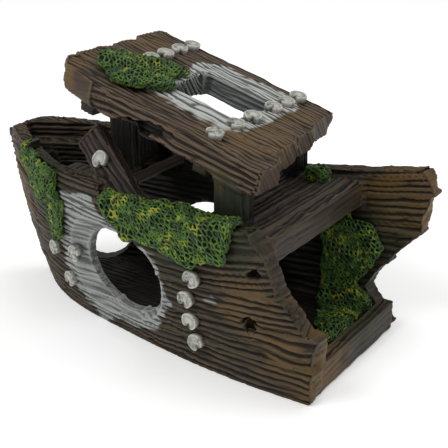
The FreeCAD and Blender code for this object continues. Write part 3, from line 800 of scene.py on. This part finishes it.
def nail_tree():
    """Heads stood on points, each square to its point's facing and turned by its point's turn."""
    inputs = {"Points": "Geometry", "Head": "Object", "Finish": "Material"}
    tree, wire = node_group("nail_heads", inputs, "Heads")
    facing = wire.add("GeometryNodeInputNamedAttribute", {"data_type": "FLOAT_VECTOR"}, {"Name": "facing"})
    square = wire.add("FunctionNodeAlignRotationToVector", {"axis": "Z"}, {"Vector": facing})
    turn = wire.add("GeometryNodeInputNamedAttribute", {"data_type": "FLOAT"}, {"Name": "turn"})
    spin = wire.add("FunctionNodeAxisAngleToRotation", sockets={"Axis": (0.0, 0.0, 1.0), "Angle": turn})
    turned = wire.add("FunctionNodeRotateRotation", {"rotation_space": "LOCAL"}, {0: square, 1: spin})
    head = wire.add("GeometryNodeObjectInfo", sockets={0: wire.add("NodeGroupInput", output="Head")},
                    output="Geometry")
    points = wire.add("NodeGroupInput", output="Points")
    heads = wire.add("GeometryNodeInstanceOnPoints", sockets={
        "Points": points, "Instance": head, "Rotation": turned})
    end_group(tree, heads, wire.add("NodeGroupInput", output="Finish"))
    return tree


# A nail head's rings from below to its crown: share of its radius, share of its height, and painted shade
HEAD_RINGS = [
    (0.9, -0.9, 0.6),
    (1.0, 0.3, 0.25),
    (0.98, 0.62, 0.0),
    (0.88, 0.8, 0.0),
    (0.72, 0.6, 0.55),
    (0.4, 0.66, 0.2),
]


def nail_head():
    """A flat nail head with a raised rim, a wavy edge and a bite out of it, in a mesh that isn't shown."""
    shape = bmesh.new()
    dent_shade = shape.verts.layers.float.new("dent_shade")
    around = 32
    rings = []
    for share, height, dark in HEAD_RINGS:
        ring = []
        for step in range(around):
            angle = 2.0 * math.pi * step / around
            bite = math.exp(-((angle - math.pi * 1.5) / 0.36) ** 2)
            wave = 0.04 * math.sin(2.0 * angle + 0.7) + 0.025 * math.sin(5.0 * angle)
            radius = HEAD_RADIUS * share * (1.0 + wave - 0.5 * bite * share)
            top = HEAD_HEIGHT * (height if height < 0 else height + 0.14 * math.sin(angle + 0.4) - 0.2 * bite)
            vert = shape.verts.new((radius * math.cos(angle) * MM, radius * math.sin(angle) * MM, top * MM))
            # Painted shade for this ring, and more of it in the bite
            vert[dent_shade] = min(1.0, dark + 0.8 * bite)
            ring.append(vert)
        rings.append(ring)
    for low, high in zip(rings, rings[1:]):
        for step in range(around):
            after = (step + 1) % around
            shape.faces.new((low[step], low[after], high[after], high[step]))
    crown = shape.verts.new((0.0, 0.0, 0.72 * HEAD_HEIGHT * MM))
    under = shape.verts.new((0.0, 0.0, -0.9 * HEAD_HEIGHT * MM))
    for step in range(around):
        after = (step + 1) % around
        shape.faces.new((rings[-1][step], rings[-1][after], crown))
        shape.faces.new((rings[0][after], rings[0][step], under))
    mesh = bpy.data.meshes.new("nail_head")
    shape.to_mesh(mesh)
    shape.free()
    return bpy.data.objects.new("nail_head", mesh)


def end_points(points, way):
    """The points at a nail's end in one direction."""
    heights = points @ way
    return np.unique(points[heights > heights.max() - 0.1].round(2), axis=0)


def end_width(points, way):
    """How wide a nail is at that end: its head is wider than its shank."""
    end = end_points(points, way)
    return np.linalg.norm(end - end.mean(0), axis=1).max()


def seats_of(node):
    """Where each nail's head sits on the wood and which way it faces, from the CAD nails."""
    shape = bmesh.new()
    shape.from_mesh(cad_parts[node].data)
    bmesh.ops.remove_doubles(shape, verts=shape.verts, dist=0.01 * MM)
    left = set(shape.faces)
    seats = []
    while left:
        group, reached = [], [left.pop()]
        while reached:
            face = reached.pop()
            group.append(face)
            near = {other for edge in face.edges for other in edge.link_faces} & left
            left -= near
            reached += near
        areas = {}
        for face in group:
            key = tuple(round(part, 1) for part in face.normal)
            areas[key] = areas.get(key, 0.0) + face.calc_area()
        outward = np.array(max(areas, key=areas.get))
        outward /= np.linalg.norm(outward)
        points = np.array([vert.co for face in group for vert in face.verts]) / MM
        if end_width(points, -outward) > end_width(points, outward):
            outward = -outward
        crown = end_points(points, outward).mean(0)
        seats.append((crown - HEAD_HEIGHT * outward, outward))
    shape.free()
    seats.sort(key=lambda seat: tuple(seat[0]))
    return seats


def nailed(node, tree, head, seed):
    """The nail heads of one node."""
    seats = seats_of(node)
    mesh = bpy.data.meshes.new(f"heads_{node}")
    mesh.from_pydata([(place * MM).tolist() for place, _ in seats], [], [])
    facing = mesh.attributes.new("facing", "FLOAT_VECTOR", "POINT")
    facing.data.foreach_set("vector", np.array([way for _, way in seats], np.float32).ravel())
    turns = np.random.default_rng(seed).uniform(-0.9, 0.9, len(seats))
    store(mesh, "turn", turns)
    piece = grown(new_piece(f"heads_{node}", mesh), tree, {"Head": head, "Finish": NAILS})
    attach(piece, "root")
    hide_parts(node)


heads, head = nail_tree(), nail_head()
for number, node in enumerate(sorted(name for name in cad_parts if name.endswith(("nails", "nail")))):
    nailed(node, heads, head, number)

# ------------------------------------------------------------------ moss


def moss_tree():
    """A net of rounded strands along the edges of a surface's cells, loosened at random."""
    tree, wire = node_group("moss_strands", {
        "Surface": "Geometry", "Strand radius": "Float", "Looseness": "Float", "Seed": "Int",
        "Finish": "Material"}, "Net")
    surface = wire.add("NodeGroupInput", output="Surface")
    cells = wire.add("GeometryNodeDualMesh", sockets={0: surface})
    sway = wire.add("FunctionNodeRandomValue", {"data_type": "FLOAT_VECTOR"}, {
        "Min": (-1.0, -1.0, -1.0), "Max": (1.0, 1.0, 1.0), "Seed": wire.add("NodeGroupInput", output="Seed")})
    loose = wire.add("NodeGroupInput", output="Looseness")
    offset = wire.add("ShaderNodeVectorMath", {"operation": "SCALE"}, {0: sway, "Scale": loose})
    shaken = wire.add("GeometryNodeSetPosition", sockets={"Geometry": cells, "Offset": offset})
    lines = wire.add("GeometryNodeMeshToCurve", sockets={0: shaken})
    profile = wire.add("GeometryNodeCurvePrimitiveCircle", sockets={
        "Resolution": 5, "Radius": wire.add("NodeGroupInput", output="Strand radius")})
    strands = wire.add("GeometryNodeCurveToMesh", sockets={
        "Curve": lines, "Profile Curve": profile, "Fill Caps": True})
    end_group(tree, strands, wire.add("NodeGroupInput", output="Finish"))
    return tree


def moss_surface(nodes, name, cell, seed, sink, corner):
    """A moss pad's skin as an uneven mesh of cells, sunk below the pad's own skin."""
    piece = remeshed(nodes, name, cell, 3, corner=corner)
    shape = bmesh.new()
    shape.from_mesh(piece.data)
    bmesh.ops.triangulate(shape, faces=shape.faces, quad_method="ALTERNATE")
    shape.to_mesh(piece.data)
    shape.free()
    points, normals = verts_of(piece.data), normals_of(piece.data)
    lumps = noise(points / 2.8, seed) * 0.6
    drift = np.stack([noise(points / 1.1, seed + 1 + axis) for axis in range(3)], axis=1) * 0.4
    broad = np.stack([noise(points / 5.0, seed + 5 + axis) for axis in range(3)], axis=1) * 1.1
    put_verts(piece.data, points + normals * (lumps - sink)[:, None] + drift + broad)
    return piece


def mossy(nodes, tree, seed, corner=None):
    """One or more moss nodes as one pad: a bed in painted shade and two nets of strands over it."""
    name = nodes.split()[0]
    bed = moss_surface(nodes, f"moss_bed_{name}", 0.7, seed, 1.0, corner)
    bed.data.polygons.foreach_set("use_smooth", [True] * len(bed.data.polygons))
    bed.data.materials.clear()
    bed.data.materials.append(MOSS_BED_SHADED)
    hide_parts(*nodes.split())
    pieces = [bed]
    for layer, sink, looseness in (("outer", -0.05, 0.3), ("inner", 0.55, 0.45)):
        net = moss_surface(nodes, f"moss_{layer}_{name}", 1.4, seed, sink, corner)
        grown(net, tree, {"Strand radius": 0.27 * MM, "Looseness": looseness * MM, "Seed": seed,
                          "Finish": MOSS_NET})
        pieces.append(net)
        seed += 50
    for piece in pieces:
        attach(piece, "root")


# A block of moss, by its two corners, that joins the moss on the stern's wall to the moss on its floor
STERN_CORNER = ((39.0, 16.0, 5.4), (54.0, 21.0, 10.5))

strands = moss_tree()
mossy("stern_wall_moss stern_floor_moss", strands, 500, STERN_CORNER)
for number, node in enumerate(("bow_moss", "port_rim_moss", "roof_moss", "post_moss_tuft"), start=1):
    mossy(node, strands, 500 + 10 * number)

# ------------------------------------------------------------------ air fitting


def clear_plastic():
    """The inlet tube: clear, slightly clouded plastic."""
    material, shader, wire = new_material("clear_tube")
    place = wire.add("ShaderNodeTexCoord", output="Object")
    cloud = wire.grained(place, (300.0, 300.0, 300.0), 2.0)
    body = wire.mix(paint(196, 206, 206), paint(168, 180, 178), cloud.between(0.4, 0.6))
    connect(shader, {"Base Color": body, "Roughness": 0.16 + cloud * 0.12, "Transmission Weight": 0.7,
                     "IOR": 1.45})
    return material


def porous_stone():
    """The air stone: blue-grey sintered grit."""
    material, shader, wire = new_material("porous_stone")
    place = wire.add("ShaderNodeTexCoord", output="Object")
    grit = wire.grained(place, (1900.0, 1900.0, 1900.0), 3.0, 0.7)
    body = wire.mix(paint(62, 70, 82), paint(124, 132, 140), grit.between(0.38, 0.62))
    bump = wire.add("ShaderNodeBump", sockets={"Strength": 0.8, "Distance": 0.25 * MM, "Height": grit})
    connect(shader, {"Base Color": body, "Roughness": 0.85, "Normal": bump})
    return material


def finished(node, material):
    """A CAD node that keeps its own shape and gets its finish."""
    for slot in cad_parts[node].material_slots:
        slot.material = material


finished("air_inlet_tube", clear_plastic())
finished("air_stone", porous_stone())

# ------------------------------------------------------------------ camera, floor and light

CAMERA_PLACE = Vector((0.1611, -0.2236, 0.1381))
CAMERA_ROUND, CAMERA_DOWN = math.radians(33.0), math.radians(22.0)
CAMERA_LENS, CAMERA_SENSOR = 81.16, 36.0


def add_camera():
    """The camera that looks at the boat from port and astern, a little from above."""
    camera = bpy.data.objects.new("camera", bpy.data.cameras.new("camera"))
    camera.data.lens = CAMERA_LENS
    camera.data.sensor_width = CAMERA_SENSOR
    camera.data.clip_start = 0.01
    camera.location = CAMERA_PLACE
    level = math.cos(CAMERA_DOWN)
    look = (-math.sin(CAMERA_ROUND) * level, math.cos(CAMERA_ROUND) * level, -math.sin(CAMERA_DOWN))
    camera.rotation_euler = Vector(look).to_track_quat("-Z", "Y").to_euler()
    bpy.context.scene.collection.objects.link(camera)
    bpy.context.scene.camera = camera


def add_floor():
    """A wide sheet of white paper under the boat."""
    mesh = bpy.data.meshes.new("floor")
    reach = 3.0
    corners = [(-reach, -reach, 0), (reach, -reach, 0), (reach, reach, 0), (-reach, reach, 0)]
    mesh.from_pydata(corners, [], [(0, 1, 2, 3)])
    floor = new_piece("floor", mesh)
    material, shader, _ = new_material("floor_paper")
    connect(shader, {"Base Color": (0.93, 0.93, 0.93, 1.0), "Roughness": 0.9, "Specular IOR Level": 0.1,
                     "Emission Color": (1.0, 1.0, 1.0, 1.0), "Emission Strength": 0.3})
    mesh.materials.append(material)


def add_softbox(name, place, size, power):
    """A square soft light that faces the boat."""
    light = bpy.data.objects.new(name, bpy.data.lights.new(name, "AREA"))
    light.data.size = size
    light.data.energy = power
    light.location = place
    light.rotation_euler = (Vector((0, 0, 0.03)) - Vector(place)).to_track_quat("-Z", "Y").to_euler()
    bpy.context.scene.collection.objects.link(light)


def add_sky(strength):
    """Even white light from all round."""
    world = bpy.data.worlds.new("studio")
    world.use_nodes = True
    background = world.node_tree.nodes["Background"]
    background.inputs["Color"].default_value = (1.0, 1.0, 1.0, 1.0)
    background.inputs["Strength"].default_value = strength
    bpy.context.scene.world = world


add_camera()
add_floor()
add_sky(0.5)
add_softbox("key", (-0.25, -0.55, 0.75), 0.45, 2.9)
add_softbox("top", (0.15, 0.25, 0.9), 0.6, 2.2)
bpy.context.scene.view_settings.view_transform = "Standard"
